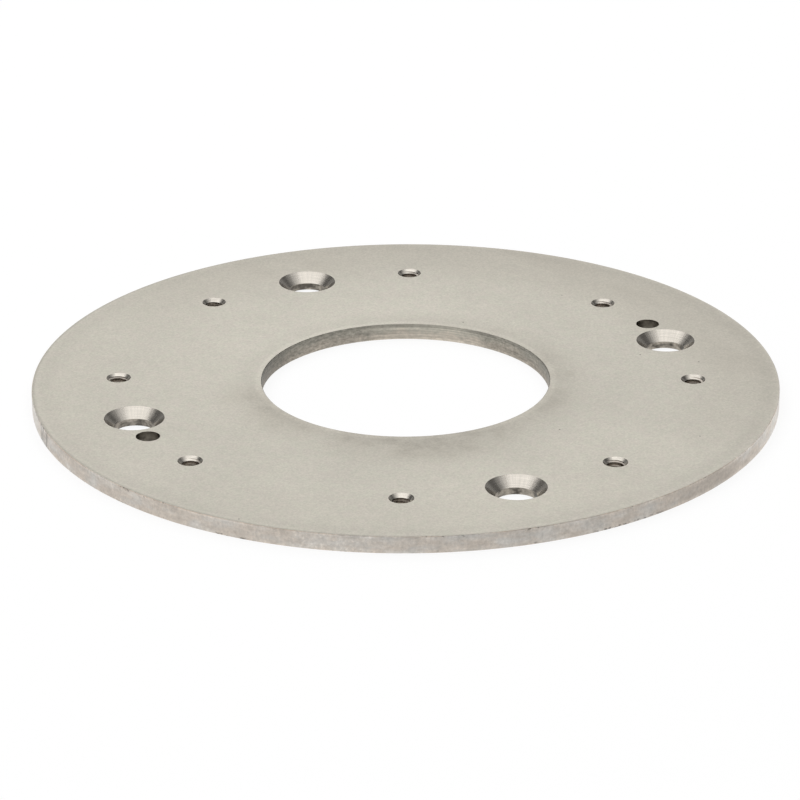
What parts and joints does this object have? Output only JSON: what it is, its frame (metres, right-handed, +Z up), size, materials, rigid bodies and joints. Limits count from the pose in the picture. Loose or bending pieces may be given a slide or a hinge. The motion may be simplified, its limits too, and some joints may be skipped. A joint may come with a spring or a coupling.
{
  "type": "telescope mount adapter plate",
  "caption": "Flat round steel plate with a wide central bore, countersunk screw holes, tapped holes and plain clearance holes, joining a telescope mount to its pier.",
  "frame": {"origin": "on the axis of the central bore, at the underside of the plate, where it rests", "axes": "+Z up out of the countersunk face, +X along the long side of the rectangle of countersunk holes, +Y along its short side"},
  "size_m": [0.22, 0.22, 0.005],
  "materials": {
    "plate_steel": "matt pickled stainless sheet with fine grain and cloudy mottling, turned countersinks and machined bore"
  },
  "bodies": {
    "root": {"adapter_plate": "plate_steel"}
  },
  "joints": []
}
